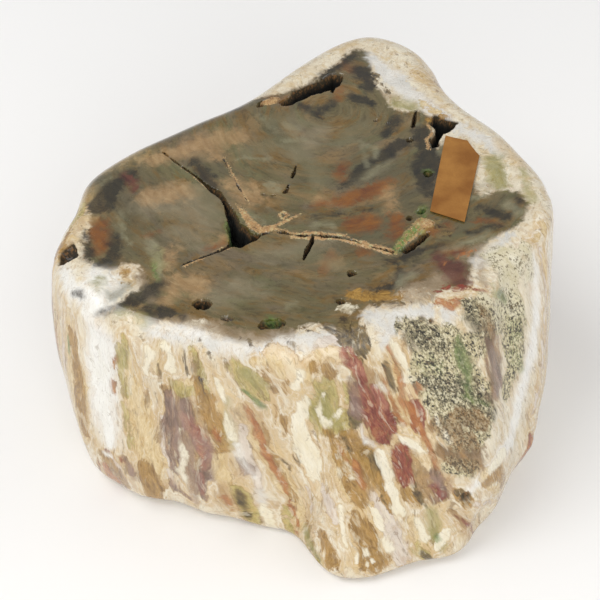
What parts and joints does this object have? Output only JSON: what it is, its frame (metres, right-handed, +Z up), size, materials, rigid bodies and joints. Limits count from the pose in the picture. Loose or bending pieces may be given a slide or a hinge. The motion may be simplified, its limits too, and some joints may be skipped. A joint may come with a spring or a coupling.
{
  "type": "petrified wood",
  "caption": "Block of petrified wood with a flat polished top that shows cracks and cavities, cream and brown sides with the grain, and a bare paper label stuck on the top.",
  "frame": {"origin": "the middle of the flat face that the block rests on", "axes": "+Z up, square to the polished top; +Y along the block's longest way, from the wide front to the narrow back; +X to the right, seen from the front"},
  "size_m": [0.1804, 0.1952, 0.0967],
  "materials": {
    "stone": "polished",
    "paper": "matt, worn"
  },
  "bodies": {
    "root": {"petrified_wood": "stone", "paper_label": "paper"}
  },
  "joints": []
}
